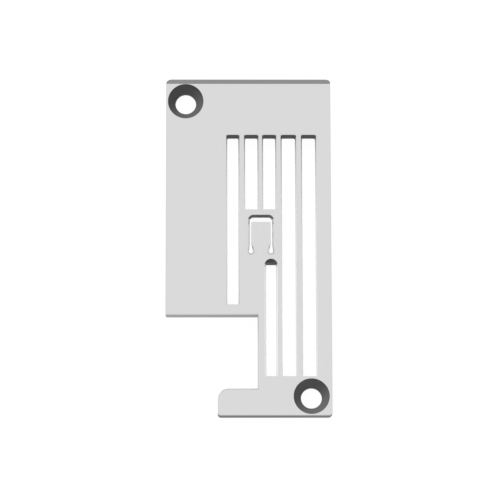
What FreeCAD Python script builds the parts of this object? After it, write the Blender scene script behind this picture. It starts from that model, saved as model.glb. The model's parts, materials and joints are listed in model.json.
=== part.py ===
"""Sewing machine needle plate: one flat piece of steel, milled from plate.

It lies flat with its underside at z = 0. X runs across the plate to the right, Y runs
away from the operator to the rear edge, and Z is up. The origin is under the middle of
the plate's bounding box. All sizes are in millimetres.
"""
import FreeCAD, Part
import math
import os

# Plate
plate_width = 39.8
plate_length = 83.0
plate_thickness = 3.8
top_edge_break = 0.2
underside_edge_break = 0.3
rear_bevel = 1.5
rear_left_corner_radius = 1.4
rear_right_corner_radius = 1.1
front_right_corner_radius = 0.9

# Wing on the left, which ends well behind the front edge
wing_length = 58.6
wing_corner_radius = 0.4

# Foot that reaches left from the front of the plate
foot_length = 6.45
foot_reach = 9.55
foot_rear_corner_radius = 2.5
foot_front_corner_radius = 0.7

# Two screw holes, each with a straight recess over a cone for a countersunk head
screw_hole_diameter = 5.0
screw_head_diameter = 8.6
screw_head_recess = 1.0
countersink_angle = 90.0
rear_screw_from_left = 4.75
rear_screw_from_rear = 5.85
front_screw_from_right = 4.95
front_screw_from_front = 4.6

# Feed slots, counted from the left, with the bars of metal beside them
slot_1_width = 2.7
slot_2_width = 3.0
slot_3_width = 2.95
slot_4_width = 3.25
slot_5_width = 3.2
bar_1_to_2 = 1.6
bar_2_to_3 = 1.35
bar_3_to_4 = 1.55
bar_4_to_5 = 1.65
right_rail_width = 3.75
slot_edge_break = 0.25
slot_corner_radius = 0.35
rear_margin = 14.25
front_margin = 9.45
slot_1_front_bar = 2.5
tongue_bar_length = 1.35

# Needle holes and the slot in the shape of a U that leaves the stitch tongue free
needle_gauge = 4.8
needle_line_from_rear = 43.0
needle_middle_from_slot_4 = 5.05
needle_hole_diameter = 1.05
needle_hole_flare = 0.45
needle_taper_length = 1.9
slit_width = 0.35
slit_spacing = 5.05
slit_edge_break = 0.4
tongue_gap = 1.35
tongue_length = 7.15
tongue_corner_radius = 0.35
tongue_slot_corner_radius = 0.9

# Short slot in front of the right needle hole, with a cone at its rear end
front_slot_width = 2.45
front_slot_edge_break = 0.35
front_slot_from_needle = 2.7
front_slot_cone_offset = 0.8
front_bar_width = 2.0

# Relief milled into the underside below the needle holes and the tongue
bridge_thickness = 1.5
relief_side_margin = 1.2
relief_rear_margin = 0.55
relief_front_margin = 1.2
relief_corner_radius = 0.8

# How far each cutter reaches past the face that it goes through
past_face = 0.5

# Edges of the plate
left_x = -plate_width / 2
right_x = plate_width / 2
rear_y = plate_length / 2
front_y = -plate_length / 2
top_z = plate_thickness

# Sides of the feed slots, worked out from the right edge to the left
slot_5_right = right_x - right_rail_width
slot_5_left = slot_5_right - slot_5_width
slot_4_right = slot_5_left - bar_4_to_5
slot_4_left = slot_4_right - slot_4_width
slot_3_right = slot_4_left - bar_3_to_4
slot_3_left = slot_3_right - slot_3_width
slot_2_right = slot_3_left - bar_2_to_3
slot_2_left = slot_2_right - slot_2_width
slot_1_right = slot_2_left - bar_1_to_2
slot_1_left = slot_1_right - slot_1_width
slot_rear_y = rear_y - rear_margin
slot_front_y = front_y + front_margin

# Needle holes, slits and the tongue between them
needle_y = rear_y - needle_line_from_rear
needle_middle_x = slot_4_left - needle_middle_from_slot_4
left_needle_x = needle_middle_x - needle_gauge / 2
right_needle_x = needle_middle_x + needle_gauge / 2
left_slit_x = needle_middle_x - slit_spacing / 2
right_slit_x = needle_middle_x + slit_spacing / 2
tongue_tip_y = needle_y + tongue_length
tongue_slot_rear_y = tongue_tip_y + tongue_gap
short_slot_front_y = tongue_slot_rear_y + slit_edge_break + tongue_bar_length

# Wing, short front slot and foot
wing_front_y = rear_y - wing_length
front_slot_rear_y = needle_y - front_slot_from_needle
notch_x = right_needle_x - front_slot_width / 2 - front_bar_width
foot_x = notch_x - foot_reach
foot_rear_y = front_y + foot_length


def rounded_wire(corners, z):
    """A closed wire at height z through corners, each given as x, y and a radius."""
    points = [FreeCAD.Vector(x, y, z) for x, y, radius in corners]
    radii = [radius for x, y, radius in corners]
    starts = []
    ends = []
    arcs = []
    for index, corner in enumerate(points):
        to_last = (points[index - 1] - corner).normalize()
        to_next = (points[(index + 1) % len(points)] - corner).normalize()
        half_angle = to_last.getAngle(to_next) / 2
        cut_back = radii[index] / math.tan(half_angle)
        start = corner + to_last * cut_back
        end = corner + to_next * cut_back
        starts.append(start)
        ends.append(end)
        if radii[index] > 0:
            inward = (to_last + to_next).normalize()
            centre = corner + inward * (radii[index] / math.sin(half_angle))
            arcs.append(Part.Arc(start, centre - inward * radii[index], end).toShape())
        else:
            arcs.append(None)
    edges = []
    for index, arc in enumerate(arcs):
        if arc is not None:
            edges.append(arc)
        edges.append(Part.makeLine(ends[index], starts[(index + 1) % len(points)]))
    return Part.Wire(edges)


def prism(corners, low_z, high_z):
    """A straight block with the given corners between two heights."""
    face = Part.Face(rounded_wire(corners, low_z))
    return face.extrude(FreeCAD.Vector(0, 0, high_z - low_z))


def box_corners(left, right, front, rear, rear_radius=0.0, front_radius=0.0):
    """The four corners of a rectangle, with one radius at the rear and one at the front."""
    return [
        (left, front, front_radius),
        (right, front, front_radius),
        (right, rear, rear_radius),
        (left, rear, rear_radius),
    ]


def through(corners):
    """A cutter that passes the whole thickness of the plate."""
    return prism(corners, -past_face, top_z + past_face)


def flared_top(low_corners, high_corners, depth):
    """A cutter that opens upwards from low_corners at a depth below the top face."""
    low = rounded_wire(low_corners, top_z - depth)
    high = rounded_wire(high_corners, top_z + past_face)
    return Part.makeLoft([low, high], True, True)


def plate_blank():
    """The plate's outline, with its wing, notch and foot, its broken edges and bevel."""
    corners = [
        (left_x, rear_y, rear_left_corner_radius),
        (right_x, rear_y, rear_right_corner_radius),
        (right_x, front_y, front_right_corner_radius),
        (foot_x, front_y, foot_front_corner_radius),
        (foot_x, foot_rear_y, foot_rear_corner_radius),
        (notch_x, foot_rear_y, 0.0),
        (notch_x, wing_front_y, 0.0),
        (left_x, wing_front_y, wing_corner_radius),
    ]
    blank = prism(corners, 0, top_z)
    blank = blank.makeChamfer(top_edge_break, edges_at(blank, top_z))
    blank = blank.makeChamfer(underside_edge_break, edges_at(blank, 0))
    return blank.cut(rear_bevel_cutter())


def edges_at(solid, z):
    """The edges of a solid that lie at one height."""
    return [
        edge for edge in solid.Edges
        if all(abs(vertex.Z - z) < 1e-6 for vertex in edge.Vertexes)
    ]


def rear_bevel_cutter():
    """A wedge over the rear edge, which leaves a 45 degree bevel across the plate."""
    outside = right_x + past_face
    profile = [
        FreeCAD.Vector(-outside, rear_y - rear_bevel - past_face, top_z + past_face),
        FreeCAD.Vector(-outside, rear_y + past_face, top_z - rear_bevel - past_face),
        FreeCAD.Vector(-outside, rear_y + past_face, top_z + past_face),
    ]
    face = Part.Face(Part.makePolygon(profile + profile[:1]))
    return face.extrude(FreeCAD.Vector(2 * outside, 0, 0))


def screw_hole(x, y):
    """A cutter for one screw: the hole, the cone for its head and a straight recess."""
    hole_radius = screw_hole_diameter / 2
    head_radius = screw_head_diameter / 2
    cone_depth = (head_radius - hole_radius) / math.tan(math.radians(countersink_angle / 2))
    cone_top_z = top_z - screw_head_recess
    profile = [
        FreeCAD.Vector(0, 0, -past_face),
        FreeCAD.Vector(hole_radius, 0, -past_face),
        FreeCAD.Vector(hole_radius, 0, cone_top_z - cone_depth),
        FreeCAD.Vector(head_radius, 0, cone_top_z),
        FreeCAD.Vector(head_radius, 0, top_z + past_face),
        FreeCAD.Vector(0, 0, top_z + past_face),
    ]
    face = Part.Face(Part.makePolygon(profile + profile[:1]))
    cutter = face.revolve(FreeCAD.Vector(0, 0, 0), FreeCAD.Vector(0, 0, 1), 360)
    cutter.translate(FreeCAD.Vector(x, y, 0))
    return cutter


def side_breaks(left, right, front, rear, edge_break):
    """A wedge along Y that breaks the two long top edges of a slot at 45 degrees."""
    side = edge_break + past_face
    profile = [
        FreeCAD.Vector(left, front, top_z - edge_break),
        FreeCAD.Vector(right, front, top_z - edge_break),
        FreeCAD.Vector(right + side, front, top_z + past_face),
        FreeCAD.Vector(left - side, front, top_z + past_face),
    ]
    face = Part.Face(Part.makePolygon(profile + profile[:1]))
    return face.extrude(FreeCAD.Vector(0, rear - front, 0))


def feed_slot(left, right, front):
    """Cutters for one feed slot, with broken long edges and small round rear corners."""
    radius = slot_corner_radius
    straight = through(box_corners(left, right, front, slot_rear_y, radius))
    mouth_left = left - slot_edge_break
    mouth_right = right + slot_edge_break
    mouth = through(box_corners(mouth_left, mouth_right, front, slot_rear_y, radius))
    breaks = side_breaks(left, right, front, slot_rear_y, slot_edge_break)
    return [straight, breaks.common(mouth)]


def feed_slots():
    """Cutters for the five feed slots."""
    slot_1_front_y = wing_front_y + slot_1_front_bar
    cutters = feed_slot(slot_1_left, slot_1_right, slot_1_front_y)
    cutters += feed_slot(slot_2_left, slot_2_right, short_slot_front_y)
    cutters += feed_slot(slot_3_left, slot_3_right, short_slot_front_y)
    cutters += feed_slot(slot_4_left, slot_4_right, slot_front_y)
    cutters += feed_slot(slot_5_left, slot_5_right, slot_front_y)
    return cutters


def front_slot():
    """Cutters for the short front slot and the cone sunk at its rear end."""
    half_width = front_slot_width / 2
    left = right_needle_x - half_width
    right = right_needle_x + half_width
    straight = through(box_corners(left, right, slot_front_y, front_slot_rear_y))
    cone_y = front_slot_rear_y - front_slot_cone_offset
    breaks = side_breaks(left, right, slot_front_y, cone_y, front_slot_edge_break)
    cone_radius = half_width + front_slot_edge_break
    tip = FreeCAD.Vector(right_needle_x, cone_y, top_z - cone_radius)
    cone = Part.makeCone(0, cone_radius + past_face, cone_radius + past_face, tip)
    return [straight, breaks, cone]


def teardrop_wire(hole_x, slit_x, radius, half_slit, z):
    """A round needle hole that narrows towards the rear until it is as wide as a slit."""
    centre = FreeCAD.Vector(hole_x, needle_y, z)
    taper_y = needle_y + needle_taper_length
    left_point = FreeCAD.Vector(slit_x - half_slit, taper_y, z)
    right_point = FreeCAD.Vector(slit_x + half_slit, taper_y, z)
    left_touch = tangent_point(centre, radius, left_point, 1)
    right_touch = tangent_point(centre, radius, right_point, -1)
    front_point = FreeCAD.Vector(hole_x, needle_y - radius, z)
    edges = [
        Part.makeLine(left_point, left_touch),
        Part.Arc(left_touch, front_point, right_touch).toShape(),
        Part.makeLine(right_touch, right_point),
        Part.makeLine(right_point, left_point),
    ]
    return Part.Wire(edges)


def tangent_point(centre, radius, outside_point, side):
    """Where a line from outside_point touches the circle, on its left (1) or right (-1)."""
    away = outside_point - centre
    turn = side * math.acos(radius / away.Length)
    heading = math.atan2(away.y, away.x) + turn
    return centre + FreeCAD.Vector(math.cos(heading), math.sin(heading), 0) * radius


def needle_hole(hole_x, slit_x):
    """Cutters for one needle hole and the smooth flare around its mouth."""
    radius = needle_hole_diameter / 2
    half_slit = slit_width / 2
    bottom = teardrop_wire(hole_x, slit_x, radius, half_slit, -past_face)
    straight = Part.Face(bottom).extrude(FreeCAD.Vector(0, 0, top_z + 2 * past_face))
    flare_foot = teardrop_wire(hole_x, slit_x, radius, half_slit, top_z - needle_hole_flare)
    wide_radius = radius + needle_hole_flare + past_face
    flare_mouth = teardrop_wire(hole_x, slit_x, wide_radius, half_slit, top_z + past_face)
    flare = Part.makeLoft([flare_foot, flare_mouth], True, True)
    return [straight, flare]


def tongue_slot():
    """Cutters for the U around the stitch tongue: two slits joined by a wider gap."""
    half_slit = slit_width / 2
    outer_left = left_slit_x - half_slit
    outer_right = right_slit_x + half_slit
    inner_left = left_slit_x + half_slit
    inner_right = right_slit_x - half_slit
    corner = tongue_slot_corner_radius
    side = slit_edge_break + past_face
    outline = box_corners(outer_left, outer_right, needle_y, tongue_slot_rear_y, corner)
    mouth = box_corners(
        outer_left - side, outer_right + side, needle_y, tongue_slot_rear_y + side, corner + side
    )
    opening = through(outline).fuse(flared_top(outline, mouth, slit_edge_break))
    tongue = prism(
        box_corners(
            inner_left, inner_right, needle_y - past_face, tongue_tip_y, tongue_corner_radius
        ),
        -2 * past_face,
        top_z + 2 * past_face,
    )
    return opening.cut(tongue)


def underside_relief():
    """A pocket in the underside that thins the plate round the needle holes."""
    corners = box_corners(
        left_slit_x - relief_side_margin,
        right_slit_x + relief_side_margin,
        needle_y - needle_hole_diameter / 2 - relief_front_margin,
        tongue_slot_rear_y + slit_edge_break + relief_rear_margin,
        relief_corner_radius,
        relief_corner_radius,
    )
    return prism(corners, -past_face, top_z - bridge_thickness)


def needle_plate():
    """The whole plate, in one solid."""
    cutters = feed_slots() + front_slot()
    cutters.append(screw_hole(left_x + rear_screw_from_left, rear_y - rear_screw_from_rear))
    cutters.append(screw_hole(right_x - front_screw_from_right, front_y + front_screw_from_front))
    cutters += needle_hole(left_needle_x, left_slit_x)
    cutters += needle_hole(right_needle_x, right_slit_x)
    cutters.append(tongue_slot())
    cutters.append(underside_relief())
    plate = plate_blank()
    for cutter in cutters:
        plate = plate.cut(cutter)
    return plate.removeSplitter()


plate = needle_plate()
box = plate.optimalBoundingBox()
print("solids", len(plate.Solids), "valid", plate.isValid())
print("size", round(box.XLength, 3), round(box.YLength, 3), round(box.ZLength, 3))
print("volume", round(plate.Volume, 2), "faces", len(plate.Faces))
os.makedirs("parts", exist_ok=True)
plate.Solids[0].exportStep("parts/needle_plate.step")
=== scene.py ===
# %% [markdown]
# # A steel needle plate for a sewing machine
#
# This lesson dresses one machined part. The needle plate is a single piece of hardened
# steel that lies flat under the presser foot. Its shape is already right, because it was
# drawn in a CAD program, so all the work here goes into its surfaces: a bright ground
# face, duller walls around the outside, softly broken edges with a painted reflection,
# and painted shade at the ends of the slots and in the cones of the screw holes.
#
# The first cell loads the finished model as a fixed frame. Its box is kept, and later
# cells use it to place the tones, the floor and the camera.

# %% Load the plate
import json
import math

import bpy
from mathutils import Matrix, Vector


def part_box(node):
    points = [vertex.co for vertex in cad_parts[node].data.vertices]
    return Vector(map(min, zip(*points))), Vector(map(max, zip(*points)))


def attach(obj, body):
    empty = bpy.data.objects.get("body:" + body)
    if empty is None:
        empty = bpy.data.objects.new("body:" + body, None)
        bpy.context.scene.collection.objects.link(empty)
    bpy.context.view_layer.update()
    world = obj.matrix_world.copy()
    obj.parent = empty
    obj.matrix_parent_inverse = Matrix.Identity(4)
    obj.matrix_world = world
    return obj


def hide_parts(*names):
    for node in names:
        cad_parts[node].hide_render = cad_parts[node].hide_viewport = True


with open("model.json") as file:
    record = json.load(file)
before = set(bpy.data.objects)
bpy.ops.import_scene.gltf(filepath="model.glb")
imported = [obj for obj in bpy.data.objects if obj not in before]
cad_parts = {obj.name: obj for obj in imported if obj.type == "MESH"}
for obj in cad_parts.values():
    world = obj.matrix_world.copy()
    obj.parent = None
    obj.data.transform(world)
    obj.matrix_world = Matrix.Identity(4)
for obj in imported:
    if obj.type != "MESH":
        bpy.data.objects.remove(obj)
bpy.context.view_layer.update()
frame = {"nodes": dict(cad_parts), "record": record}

MM = 0.001

cad_plate = frame["nodes"]["needle_plate"]
plate_low, plate_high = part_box("needle_plate")
plate_size = plate_high - plate_low
top_z = plate_high.z
print("plate in millimetres:", [round(side / MM, 2) for side in plate_size])

# %% [markdown]
# ## Colours as they are seen
#
# A grey picked from a picture is written for the screen, but shaders work in linear
# light. The curve between the two starts as a straight line and goes on as a power. One
# small function follows it, so every finish below can be given as the grey, from 0 to
# 255, that the steel should have on the screen.

# %% Greys in linear light
FULL_GREY = 255.0
STRAIGHT_END = 0.04045
STRAIGHT_SLOPE = 12.92
CURVE_OFFSET = 0.055
CURVE_POWER = 2.4


def linear_grey(grey):
    """Linear light for a screen grey from 0 to 255."""
    share = grey / FULL_GREY
    if share <= STRAIGHT_END:
        return share / STRAIGHT_SLOPE
    return ((share + CURVE_OFFSET) / (1 + CURVE_OFFSET)) ** CURVE_POWER


def even_colour(value):
    """A shader colour with the same red, green and blue."""
    return (value, value, value, 1.0)


def grey_colour(grey):
    """A screen grey as a shader colour."""
    return even_colour(linear_grey(grey))


print("a grey of 218 in linear light:", round(linear_grey(218), 3))

# %% [markdown]
# ## Node trees in a script
#
# A finish is a tree of small nodes, and so is the sorting of the faces further down. In
# the editor they are placed and wired by hand. In a script, a few helpers do the same in
# one line a node: one gives a socket a wire or a plain value, and two add a node and
# fill its inputs, either by their names or in their order.

# %% Helpers for node trees
def fill(tree, socket, value):
    """Wires a socket to another node's result, or sets it to a plain value."""
    if isinstance(value, bpy.types.NodeSocket):
        tree.links.new(value, socket)
    else:
        socket.default_value = value


def add_node(tree, kind, inputs=None, **settings):
    """A new node. Its settings come first, because they decide which inputs it has."""
    node = tree.nodes.new(kind)
    for name, setting in settings.items():
        setattr(node, name, setting)
    for name, value in (inputs or {}).items():
        fill(tree, node.inputs[name], value)
    return node


def wired(tree, kind, *values, result=0, **settings):
    """A result of a new node. The values fill the inputs that it uses, in order."""
    node = add_node(tree, kind, **settings)
    for socket, value in zip([s for s in node.inputs if s.enabled], values):
        fill(tree, socket, value)
    return node.outputs[result]


def maths(tree, operation, *values):
    """The result of one Math node."""
    return wired(tree, "ShaderNodeMath", *values, operation=operation)


def parts_of(tree, vector):
    """The X, Y and Z parts of a vector."""
    return add_node(tree, "ShaderNodeSeparateXYZ", {"Vector": vector}).outputs


# %% [markdown]
# ## Marks of the tool
#
# Each surface shows how it was made, by fine lines that run the way the tool went. They
# are about a thousandth of a millimetre deep, so they belong in the finish and not in
# the shape. They could be painted on a picture, but a noise that changes fast across the
# lines and slowly along them gives lines at the true scale and needs no picture. It
# reads the Object coordinates, which are metres on the plate.

# %% Tool marks
MARK_DETAIL = 3.0


def place_on_plate(tree, scale=(1, 1, 1)):
    """The place of a point in metres, with each axis multiplied by its scale."""
    place = add_node(tree, "ShaderNodeTexCoord").outputs["Object"]
    return add_node(tree, "ShaderNodeMapping", {"Vector": place, "Scale": scale}).outputs["Vector"]


def marks_per_mm(*counts):
    """A noise that changes so many times a millimetre along X, Y and Z."""
    def marks(tree):
        place = place_on_plate(tree, [count / MM for count in counts])
        inputs = {"Vector": place, "Scale": 1.0, "Detail": MARK_DETAIL}
        return add_node(tree, "ShaderNodeTexNoise", inputs).outputs["Fac"]
    return marks


# %% [markdown]
# ## Tones
#
# A finish has either one tone, which the tool marks move a little between a darker and
# a lighter grey, or a tone that changes along the plate. For the second, a Color Ramp
# turns a number from 0 to 1 into a colour. Its stops are places along the plate in
# millimetres, each with its grey.

# %% Tones
def between(dark_grey, light_grey):
    """A tone that follows the tool marks between two greys."""
    def tone(tree, marks):
        inputs = {"Factor": marks, "A": grey_colour(dark_grey), "B": grey_colour(light_grey)}
        return add_node(tree, "ShaderNodeMix", inputs, data_type="RGBA").outputs["Result"]
    return tone


def share_of_length(place):
    """How far a place in millimetres lies from the front end, as a share of the plate."""
    return (place * MM - plate_low.y) / plate_size.y


def fading(*stops):
    """A tone that changes along the plate, from pairs of a place in millimetres and a grey."""
    def tone(tree, marks):
        along = parts_of(tree, place_on_plate(tree))["Y"]
        ends = {"Value": along, "From Min": plate_low.y, "From Max": plate_high.y}
        share = add_node(tree, "ShaderNodeMapRange", ends).outputs["Result"]
        ramp = add_node(tree, "ShaderNodeValToRGB", {"Fac": share})
        points = ramp.color_ramp.elements
        points.remove(points[-1])
        (first_place, first_grey), *others = stops
        points[0].position = share_of_length(first_place)
        points[0].color = grey_colour(first_grey)
        for place, grey in others:
            points.new(share_of_length(place)).color = grey_colour(grey)
        return ramp.outputs["Color"]
    return tone


# %% [markdown]
# ## A base for every steel finish
#
# All finishes here are steel. They differ in how dark it is, how rough it is and which
# marks it has. A Principled BSDF with Metallic at 1 is the plain way to make metal. The
# marks turn its roughness a little up and down and lift the surface through a Bump node.

# %% The steel finish
MICRON = 0.001 * MM


def new_material(name):
    """A material with an empty shader tree and its output node."""
    material = bpy.data.materials.new(name)
    material.use_nodes = True
    tree = material.node_tree
    tree.nodes.clear()
    return material, tree, add_node(tree, "ShaderNodeOutputMaterial")


def steel(name, tone, roughness, marks, depth, metallic=1.0):
    """A steel finish with its tone, its range of roughness, and marks of a certain depth."""
    material, tree, output = new_material(name)
    height = marks(tree)
    limits = {"Value": height, "To Min": roughness[0], "To Max": roughness[1]}
    relief = {"Height": height, "Strength": 1.0, "Distance": depth}
    shader = add_node(tree, "ShaderNodeBsdfPrincipled", {
        "Base Color": tone(tree, height),
        "Metallic": metallic,
        "Roughness": add_node(tree, "ShaderNodeMapRange", limits).outputs["Result"],
        "Normal": add_node(tree, "ShaderNodeBump", relief).outputs["Normal"],
    })
    tree.links.new(shader.outputs["BSDF"], output.inputs["Surface"])
    print(f"{name}: roughness {roughness}, marks {depth / MICRON:.1f} microns deep")
    return material


def shader_input(material, name):
    """An input of the shader in a steel finish."""
    return material.node_tree.nodes["Principled BSDF"].inputs[name]


# %% [markdown]
# ## The ground face and the underside
#
# The top is ground on a flat grinder, which leaves very fine lines along the plate and a
# bright even face. The underside only has to lie flat, so it is left rougher, with
# deeper lines across it.

# %% Finish the flat faces
ground_face = steel(
    "ground_face",
    tone=between(216, 220),
    roughness=(0.20, 0.26),
    marks=marks_per_mm(9.0, 0.3, 9.0),
    depth=0.3 * MICRON,
)
underside = steel(
    "underside_face",
    tone=between(174, 192),
    roughness=(0.34, 0.46),
    marks=marks_per_mm(0.4, 6.0, 6.0),
    depth=1.0 * MICRON,
)

# %% [markdown]
# ## The walls around the outside
#
# The outline is cut with the side of a milling cutter, which leaves lines along the wall.
# The wall at the front end is darker than the others, so the tone fades along the plate,
# from the front end to the wall at the front of the wing, and stays the same from there.
#
# Metal turns into a bright mirror when it is seen at a flat angle, as a camera above the
# plate sees these walls. A Specular Tint under white holds that back, so that the walls
# keep nearly the same grey from above and from the side.

# %% Finish the outer walls
WING_FRONT = -17.2
WALL_TINT_GREY = 230
front_end = plate_low.y / MM
rear_end = plate_high.y / MM

outer_walls = steel(
    "outer_walls",
    tone=fading((front_end, 101), (WING_FRONT, 160), (rear_end, 160)),
    roughness=(0.36, 0.48),
    marks=marks_per_mm(0.5, 0.5, 9.0),
    depth=1.0 * MICRON,
)
shader_input(outer_walls, "Specular Tint").default_value = grey_colour(WALL_TINT_GREY)

# %% [markdown]
# ## The rim and the rear bevel
#
# The upper edge of the outline is broken all round, which leaves a narrow rim nearly as
# bright as the face. Along the rear, a wide bevel takes its place. It is milled and
# rougher, with lines that run the length of it, and its darker grey is painted shade.

# %% Finish the rim and the bevel
outer_edges = steel(
    "outer_edges",
    tone=between(206, 214),
    roughness=(0.26, 0.34),
    marks=marks_per_mm(0.6, 0.6, 9.0),
    depth=0.5 * MICRON,
)
# The darker grey of the bevel is painted shade, for a face that leans towards the rear.
rear_bevel_painted_shade = steel(
    "rear_bevel_painted_shade",
    tone=between(132, 140),
    roughness=(0.30, 0.40),
    marks=marks_per_mm(0.3, 9.0, 9.0),
    depth=0.8 * MICRON,
)

# %% [markdown]
# ## The sides and edges of the slots
#
# The long sides of the slots are ground with a thin wheel that runs along them, and their
# upper edges are broken, so that no thread can catch. The sides are bright. The broken
# edges carry painted light: a painted reflection, nearly white at the front, that fades
# into painted shade towards the rear, slowly at first and fast at the end, so the stops
# of their tone lie closer together there.

# %% Finish the slots
FEED_SLOTS_REAR = 27.2

slot_sides = steel(
    "slot_sides",
    tone=between(214, 226),
    roughness=(0.20, 0.30),
    marks=marks_per_mm(6.0, 0.3, 6.0),
    depth=0.5 * MICRON,
)
# The tone of the broken edges is painted light: a painted reflection at the front that fades into
# painted shade at the rear.
broken_edges_painted_light = steel(
    "broken_edges_painted_light",
    tone=fading(
        (front_end, 254),
        (-10.0, 252),
        (8.0, 246),
        (16.0, 232),
        (23.0, 210),
        (26.0, 180),
        (FEED_SLOTS_REAR, 110),
    ),
    roughness=(0.20, 0.28),
    marks=marks_per_mm(6.0, 0.6, 6.0),
    depth=0.4 * MICRON,
)

# %% [markdown]
# ## The mouths of the needle holes
#
# A cord with grinding paste is drawn through the needle holes and the slits beside the
# tongue. It rounds their mouths and leaves them smooth but dull. The steel keeps its
# light grey, and a higher roughness makes it dull.

# %% Finish the needle holes
corded_edges = steel(
    "corded_edges",
    tone=between(226, 238),
    roughness=(0.44, 0.54),
    marks=marks_per_mm(6.0, 6.0, 2.0),
    depth=0.4 * MICRON,
)

# %% [markdown]
# ## Rings round the screw holes
#
# A countersink turns, so its marks run round the hole. Lines along X or Y can't show
# that. A noise in one dimension, led by the distance from the middle of the nearer hole,
# makes rings instead. The middles come from the model's own record.

# %% Rings round the screw holes
RINGS_PER_MM = 5.0
RING_DETAIL = 2.0

screw_holes = {
    mount["name"]: Vector((mount["pos_m"][0], mount["pos_m"][1], 0.0))
    for mount in frame["record"]["mounts"]
    if mount["kind"] == "bore"
}
for name, middle in screw_holes.items():
    print(f"{name}: {middle.x / MM:.2f}, {middle.y / MM:.2f} millimetres")


def from_nearer_hole(tree):
    """The distance in plan from the middle of the nearer screw hole, in metres."""
    place = place_on_plate(tree, (1, 1, 0))
    distances = [
        wired(tree, "ShaderNodeVectorMath", place, middle, result="Value", operation="DISTANCE")
        for middle in screw_holes.values()
    ]
    return maths(tree, "MINIMUM", *distances)


def turned_rings(tree):
    """Fine rings round each screw hole."""
    inputs = {"W": from_nearer_hole(tree), "Scale": RINGS_PER_MM / MM, "Detail": RING_DETAIL}
    return add_node(tree, "ShaderNodeTexNoise", inputs, noise_dimensions="1D").outputs["Fac"]


# %% [markdown]
# ## Painted shade in the slot ends and the screw cones
#
# The ends of the slots and the cones of the screw holes lie in recesses, and their dark
# tone is painted shade. It is the same base, dull and hardly a metal to the eye, with
# Metallic and Specular IOR Level turned far down. The painted shade is a little lighter
# at the end of the slot behind the tongue.

# %% Finish the slot ends and the screw cones with painted shade
PAINTED_SHADE_METALLIC = 0.1
PAINTED_SHADE_SPECULAR = 0.1
FRONT_SLOT_REAR = -6.0
TONGUE_SLOT_REAR = 7.5


def painted_shade_finish(name, tone, marks):
    """A dull dark finish, hardly metal to the eye, whose dark tone is painted shade."""
    material = steel(name, tone, (0.50, 0.62), marks, 1.5 * MICRON, PAINTED_SHADE_METALLIC)
    shader_input(material, "Specular IOR Level").default_value = PAINTED_SHADE_SPECULAR
    return material


# The dark tone of the slot ends is painted shade, lighter at the slot behind the tongue.
slot_ends_painted_shade = painted_shade_finish(
    "slot_ends_painted_shade",
    fading((FRONT_SLOT_REAR, 81), (TONGUE_SLOT_REAR, 122), (FEED_SLOTS_REAR, 75)),
    marks_per_mm(2.0, 2.0, 2.0),
)
# The dark tone of the screw cones is painted shade, a little darker at the rear.
screw_cones_painted_shade = painted_shade_finish("screw_cones_painted_shade", fading((front_end, 116), (rear_end, 105)), turned_rings)

# %% [markdown]
# ## Sorting the faces with Geometry Nodes
#
# The model comes as loose triangles in one colour. Painting each face by hand would work
# once, but not when the plate is built again in another size. Geometry Nodes can sort
# the faces by rules instead: which way a face looks, where it lies, and which wall it is
# part of. Each rule asks questions with a yes or a no, and these helpers ask them and
# join the answers.

# %% Helpers for yes and no
def logic(tree, operation, *values):
    """The result of one Boolean Math node."""
    return wired(tree, "FunctionNodeBooleanMath", *values, operation=operation)


def both(tree, first, second):
    """True where both values are true."""
    return logic(tree, "AND", first, second)


def either(tree, first, second):
    """True where one of two values is true, or both."""
    return logic(tree, "OR", first, second)


def without(tree, first, second):
    """True where the first value is true and the second isn't."""
    return logic(tree, "NIMPLY", first, second)


def above(tree, number, limit):
    """True where a number is over a limit."""
    return wired(tree, "FunctionNodeCompare", number, limit, operation="GREATER_THAN")


def below(tree, number, limit):
    """True where a number is under a limit."""
    return wired(tree, "FunctionNodeCompare", number, limit, operation="LESS_THAN")


def size_of(tree, number):
    """A number without its sign, to ask about both directions at once."""
    return maths(tree, "ABSOLUTE", number)


# %% [markdown]
# ## Reading a whole wall
#
# One triangle often can't say which wall it is part of, but all the triangles of a wall
# together can. Accumulate Field adds up a value over each group of faces. Divided by the
# area of the group, that is the mean, such as the mean height of a wall. The border
# between two groups is an edge, and there a yes on one side and a no on the other side
# average to a half.

# %% Helpers for groups of faces
HALF = 0.5
HALF_MARGIN = 0.1


def on_faces(tree, answer):
    """An answer settled on faces as 1 or 0, which edges see as an average."""
    return wired(tree, "GeometryNodeFieldOnDomain", answer, domain="FACE", data_type="FLOAT")


def half_way(tree, answer):
    """True on edges where a face with 1 meets a face with 0."""
    return wired(tree, "FunctionNodeCompare", answer, HALF, HALF_MARGIN, operation="EQUAL")


def groups_inside(tree, border):
    """A number for each group of faces that the border edges fence in."""
    return wired(tree, "GeometryNodeEdgesToFaceGroups", border)


def group_total(tree, value, group):
    """The sum of a value over the faces of each group."""
    return wired(
        tree, "GeometryNodeAccumulateField", value, group,
        result="Total", domain="FACE", data_type="FLOAT",
    )


def group_mean(tree, value, area, group):
    """The mean of a value over each group, in which a large face counts for more."""
    weighed = group_total(tree, maths(tree, "MULTIPLY", area, value), group)
    return maths(tree, "DIVIDE", weighed, group_total(tree, area, group))


def distance_in_plan(tree, place, middle):
    """How far a place is from a middle, seen from above."""
    in_plan = wired(tree, "ShaderNodeVectorMath", place, (1, 1, 0), operation="MULTIPLY")
    return wired(
        tree, "ShaderNodeVectorMath", in_plan, middle, result="Value", operation="DISTANCE"
    )


# %% [markdown]
# ## A tree with named inputs
#
# A tree has inputs as a function has arguments. Each limit of the rules is one, and so
# are the middles of the screw holes and all the finishes, so the same tree can sort
# another plate. Flat, Lean and End Limit are compared with one part of a face's normal:
# it is 1 where the face looks straight that way, and 0 where it looks sideways.

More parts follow.
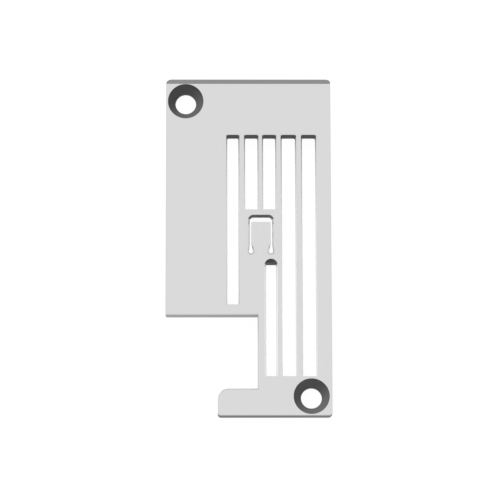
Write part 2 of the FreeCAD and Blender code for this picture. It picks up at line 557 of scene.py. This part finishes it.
# %% Name what the tree is given
sorting_limits = {
    "Weld Distance": 0.001 * MM,
    "Flat Limit": 0.99,
    "Lean Limit": 0.3,
    "End Limit": 0.15,
    "Sharp Angle": math.radians(28),
    "Outline Area": 700 * MM * MM,
    "Edge Height": top_z - 0.35 * MM,
    "Screw Reach": 4.5 * MM,
    "Needle Line": -1.0 * MM,
    "Needle Reach": 2.0 * MM,
}
finishes = {
    material.name: material
    for material in (
        ground_face, underside, outer_walls, outer_edges, rear_bevel_painted_shade,
        slot_sides, slot_ends_painted_shade, screw_cones_painted_shade, corded_edges, broken_edges_painted_light,
    )
}

sorter = bpy.data.node_groups.new("sort_faces", "GeometryNodeTree")
sorter.interface.new_socket("Geometry", in_out="INPUT", socket_type="NodeSocketGeometry")
input_kinds = {
    "NodeSocketFloat": sorting_limits,
    "NodeSocketVector": screw_holes,
    "NodeSocketMaterial": finishes,
}
for kind, values in input_kinds.items():
    for name in values:
        sorter.interface.new_socket(name, in_out="INPUT", socket_type=kind)
    print(f"inputs of kind {kind}: {', '.join(values)}")
sorter.interface.new_socket("Geometry", in_out="OUTPUT", socket_type="NodeSocketGeometry")
given = add_node(sorter, "NodeGroupInput").outputs

# %% [markdown]
# ## Welding, and reading each face
#
# Loose triangles have no neighbours, so corners in the same place are welded first. Then
# each face can say which way it looks, where it lies and how large it is, and each edge
# can say how sharply the surface is folded there.

# %% Weld the triangles and read the faces
welded = wired(
    sorter, "GeometryNodeMergeByDistance", given["Geometry"], True, given["Weld Distance"]
)
face_place = wired(sorter, "GeometryNodeInputPosition")
lies = parts_of(sorter, face_place)
looks = parts_of(sorter, wired(sorter, "GeometryNodeInputNormal"))
face_area = wired(sorter, "GeometryNodeInputMeshFaceArea")
fold = wired(sorter, "GeometryNodeInputMeshEdgeAngle", result="Unsigned Angle")
print("nodes after the readings:", len(sorter.nodes))

# %% [markdown]
# ## Rings and strips
#
# A face is flat if it looks almost straight up or down. The flat faces cut the walls
# apart into rings: one long ring is the outline, and each slot or hole has a short one.
# Inside a ring, sharp folds and the places where a wall starts to lean cut it into
# strips, such as one straight wall or one broken edge. The sharp folds are also where
# the shading has to break.

# %% Find the rings and the strips
flat = on_faces(sorter, above(sorter, size_of(sorter, looks["Z"]), given["Flat Limit"]))
leans = on_faces(sorter, above(sorter, looks["Z"], given["Lean Limit"]))

ring_border = half_way(sorter, flat)
crease = either(sorter, ring_border, above(sorter, fold, given["Sharp Angle"]))
strip_border = either(sorter, crease, half_way(sorter, leans))
ring = groups_inside(sorter, ring_border)
strip = groups_inside(sorter, strip_border)
print("nodes after the rings and strips:", len(sorter.nodes))

# %% [markdown]
# ## The rules for the outline
#
# The outline's ring has more than twice the area of the longest slot's, which tells them
# apart. On the outline, what leans is either the rim or the rear bevel. The rim is the
# strip whose mean height is close under the top face. The bevel reaches lower.

# %% Sort the walls of the outline
walls = logic(sorter, "NOT", flat)
long_ring = above(sorter, group_total(sorter, face_area, ring), given["Outline Area"])
outline = both(sorter, walls, long_ring)

strip_height = group_mean(sorter, lies["Z"], face_area, strip)
edge = both(sorter, leans, above(sorter, strip_height, given["Edge Height"]))
bevel = both(sorter, outline, leans)
rim = both(sorter, outline, edge)
print("nodes after the rules for the outline:", len(sorter.nodes))

# %% [markdown]
# ## The rules for the slots and holes
#
# The walls at the ends of a slot look along the plate, and so do the edges above them,
# so every face that looks lengthwise is an end. The round walls of the needle holes look
# every way and would match too, so they are left out by their distance from the needle
# line. The edges of slots are found like the rim, and those close to the needle line are
# the mouths. The screw holes are told by their distance from the middles.

# %% Sort the walls of the slots and holes
inside = without(sorter, walls, long_ring)
slot_edge = both(sorter, inside, edge)

from_needles = size_of(sorter, maths(sorter, "SUBTRACT", lies["Y"], given["Needle Line"]))
at_needles = below(sorter, from_needles, given["Needle Reach"])
lengthwise = above(sorter, size_of(sorter, looks["Y"]), given["End Limit"])
slot_end = both(sorter, inside, without(sorter, lengthwise, at_needles))
needle_mouth = both(sorter, slot_edge, at_needles)

at_screws = either(sorter, *(
    below(sorter, distance_in_plan(sorter, face_place, given[name]), given["Screw Reach"])
    for name in screw_holes
))
cone = both(sorter, inside, at_screws)
print("nodes after the rules for the slots:", len(sorter.nodes))

# %% [markdown]
# ## Shading and finishes
#
# The faces are shaded smooth, except across the creases. Realize Instances makes sure
# that what comes out is plain geometry. Then the finishes go on in layers, as paint
# would: the first covers everything, and each later one covers only its own faces. That
# keeps the rules short, because the rim can go over the bevel, and the ends of a slot
# over its edges.

# %% Shade the plate and lay on the finishes
smooth = wired(sorter, "GeometryNodeSetShadeSmooth", welded, True, True, domain="FACE")
creased = wired(sorter, "GeometryNodeSetShadeSmooth", smooth, crease, False, domain="EDGE")
dressed = wired(sorter, "GeometryNodeRealizeInstances", creased)
layers = [
    (True, ground_face),
    (below(sorter, looks["Z"], 0.0), underside),
    (outline, outer_walls),
    (bevel, rear_bevel_painted_shade),
    (rim, outer_edges),
    (inside, slot_sides),
    (slot_edge, broken_edges_painted_light),
    (slot_end, slot_ends_painted_shade),
    (needle_mouth, corded_edges),
    (cone, screw_cones_painted_shade),
]
for where, finish in layers:
    dressed = wired(sorter, "GeometryNodeSetMaterial", dressed, where, given[finish.name])
add_node(sorter, "NodeGroupOutput", {"Geometry": dressed})
print("nodes in the sorting tree:", len(sorter.nodes))

# %% [markdown]
# ## Running the tree on a copy
#
# The loaded model stays untouched, so the tree runs on a copy of its mesh. The copy loses
# the normals that were stored for the loose triangles, so that the welded surface gets
# its own. A modifier's inputs are set by their identifiers before it is first evaluated.
# The result is turned into a plain mesh, which keeps the sorted finishes, and the
# modifier goes.

# %% Dress a copy of the plate
def sorted_plate():
    """A plain mesh object made by the sorting tree from a copy of the plate."""
    source = bpy.data.objects.new("plate_source", cad_plate.data.copy())
    bpy.context.scene.collection.objects.link(source)
    source.data.attributes.remove(source.data.attributes["custom_normal"])
    modifier = source.modifiers.new("sort_faces", "NODES")
    modifier.node_group = sorter
    values = {**sorting_limits, **screw_holes, **finishes}
    for item in sorter.interface.items_tree:
        if item.in_out == "INPUT" and item.name in values:
            modifier[item.identifier] = values[item.name]
    depsgraph = bpy.context.evaluated_depsgraph_get()
    mesh = bpy.data.meshes.new_from_object(source.evaluated_get(depsgraph))
    source.modifiers.remove(modifier)
    bpy.data.objects.remove(source)
    plate = bpy.data.objects.new("finished_needle_plate", mesh)
    bpy.context.scene.collection.objects.link(plate)
    return plate


plate = sorted_plate()
areas = dict.fromkeys(finishes, 0.0)
for face in plate.data.polygons:
    areas[plate.data.materials[face.material_index].name] += face.area
for name, area in areas.items():
    print(f"{name}: {area / MM / MM:.1f} square millimetres")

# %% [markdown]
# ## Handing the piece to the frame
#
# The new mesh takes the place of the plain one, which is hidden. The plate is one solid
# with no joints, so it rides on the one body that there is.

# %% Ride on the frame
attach(plate, "root")
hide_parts("needle_plate")
print("pieces that stand for the plate:", plate.name)

# %% [markdown]
# ## A white table
#
# The plate lies on a white surface. More light would make the table white, but it would
# wash out the plate as well. So the floor glows for rays from the camera and for
# reflections, and keeps a small share of plain diffuse grey, in which the plate's soft
# shadow shows. To all other light it is a plain pale table. That light never sees the
# glow, so the glow is kept out of the search for lamps.

# %% Finish the floor
FLOOR_PALENESS = 0.8
FLOOR_GLOW = 0.95
SHADOW_PALENESS = 0.12


def ray_is_seen(tree):
    """1 for rays from the camera and for mirrored or transmitted ones, 0 for others."""
    rays = add_node(tree, "ShaderNodeLightPath").outputs
    seen = maths(tree, "MAXIMUM", rays["Is Camera Ray"], rays["Is Glossy Ray"])
    return maths(tree, "MAXIMUM", seen, rays["Is Transmission Ray"])


def floor_material():
    """White with a soft shadow where it is seen, and plain pale grey for other light."""
    material, tree, output = new_material("white_table")
    pale = wired(tree, "ShaderNodeBsdfDiffuse", even_colour(FLOOR_PALENESS))
    shadow = wired(tree, "ShaderNodeBsdfDiffuse", even_colour(SHADOW_PALENESS))
    glow = wired(tree, "ShaderNodeEmission", even_colour(1.0), FLOOR_GLOW)
    white = wired(tree, "ShaderNodeAddShader", shadow, glow)
    choice = wired(tree, "ShaderNodeMixShader", ray_is_seen(tree), pale, white)
    tree.links.new(choice, output.inputs["Surface"])
    material.cycles.emission_sampling = "NONE"
    return material


white_table = floor_material()
print("nodes in the floor's finish:", len(white_table.node_tree.nodes))

# %% [markdown]
# ## Laying the table
#
# One square is enough, as long as it reaches past the picture from every side. It lies a
# hundredth of a millimetre under the plate, so that the two faces don't fight over which
# one is seen. It is part of the stage and not of the object.

# %% Make the floor
FLOOR_SIZE = 3.0
FLOOR_GAP = 0.01 * MM


def make_floor():
    """A square floor just under the plate."""
    half = FLOOR_SIZE / 2
    corners = [(-half, -half, 0), (half, -half, 0), (half, half, 0), (-half, half, 0)]
    mesh = bpy.data.meshes.new("table_top")
    mesh.from_pydata(corners, [], [(0, 1, 2, 3)])
    mesh.materials.append(white_table)
    floor = bpy.data.objects.new("table_top", mesh)
    floor.location.z = plate_low.z - FLOOR_GAP
    bpy.context.scene.collection.objects.link(floor)


make_floor()
print(f"floor: {FLOOR_SIZE} metres square")

# %% [markdown]
# ## Even light from all around
#
# Even white light shows a finish in its own colour. It could come from many large lamps,
# but a world of one colour does the same. It gives light at half strength, and only the
# camera and reflections see it as white. It has no bright spots, so the search for them
# is turned off.

# %% Make the world
WORLD_LEVEL = 0.5


def make_world():
    """An even pale world, which the camera and reflections see as white."""
    world = bpy.data.worlds.new("studio")
    world.use_nodes = True
    tree = world.node_tree
    tree.nodes.clear()
    limits = {"Value": ray_is_seen(tree), "To Min": WORLD_LEVEL, "To Max": 1.0}
    level = add_node(tree, "ShaderNodeMapRange", limits).outputs["Result"]
    light = wired(tree, "ShaderNodeBackground", even_colour(1.0), level)
    add_node(tree, "ShaderNodeOutputWorld", {"Surface": light})
    world.cycles.sampling_method = "NONE"
    bpy.context.scene.world = world


make_world()
bpy.context.scene.view_settings.view_transform = "Standard"
print("light from the world:", WORLD_LEVEL)

# %% [markdown]
# ## One soft lamp
#
# Under even light alone, the cones of the screw holes would look flat. A soft lamp from
# behind on the left gives each a lighter and a darker side. It is hidden from
# reflections, because the ground face would mirror it as a white patch for a camera on
# the other side.

# %% Hang the lamp
LAMP_PLACE = Vector((-0.35, 0.55, 0.55))
LAMP_SIZE = 0.45
LAMP_POWER = 4.5


def make_lamp():
    """A square soft lamp that points at the middle of the plate."""
    data = bpy.data.lights.new("soft_lamp", "AREA")
    data.size = LAMP_SIZE
    data.energy = LAMP_POWER
    lamp = bpy.data.objects.new("soft_lamp", data)
    lamp.location = LAMP_PLACE
    lamp.rotation_mode = "QUATERNION"
    lamp.rotation_quaternion = (-LAMP_PLACE).to_track_quat("-Z", "Y")
    lamp.visible_glossy = False
    bpy.context.scene.collection.objects.link(lamp)


make_lamp()
print(f"lamp: {LAMP_POWER} watts from {LAMP_PLACE.length:.2f} metres")

# %% [markdown]
# ## The camera
#
# The picture was taken from almost straight above, from far away with a long lens. The
# camera leans towards the front of the plate by about a seventh of a right angle, so
# that the rear walls of the slots just show, and half a degree to the left. It is
# easiest to place by its turns: it starts at the middle of the picture, looking straight
# down with the rear edge up, makes the two turns, and backs away.

# %% Place the camera
CAMERA_LEAN = math.radians(12.6)
CAMERA_TURN = math.radians(-0.5328)
CAMERA_DISTANCE = 0.8136
CAMERA_TARGET = Vector((0.23 * MM, -1.30 * MM, top_z))
CAMERA_REACH = 10.0
LENS_MM = 244.1
SENSOR_MM = 36.0


def make_camera():
    """A long lens over the plate, leaning towards its front edge."""
    data = bpy.data.cameras.new("camera")
    data.sensor_width = SENSOR_MM
    data.lens = LENS_MM
    data.clip_end = CAMERA_REACH
    camera = bpy.data.objects.new("camera", data)
    lean = Matrix.Rotation(CAMERA_LEAN, 4, "X")
    turn = Matrix.Rotation(CAMERA_TURN, 4, "Y")
    back_away = Matrix.Translation((0, 0, CAMERA_DISTANCE))
    camera.matrix_world = Matrix.Translation(CAMERA_TARGET) @ lean @ turn @ back_away
    bpy.context.scene.collection.objects.link(camera)
    bpy.context.scene.camera = camera
    return camera


camera = make_camera()
print("camera in metres:", [round(part, 3) for part in camera.matrix_world.translation])
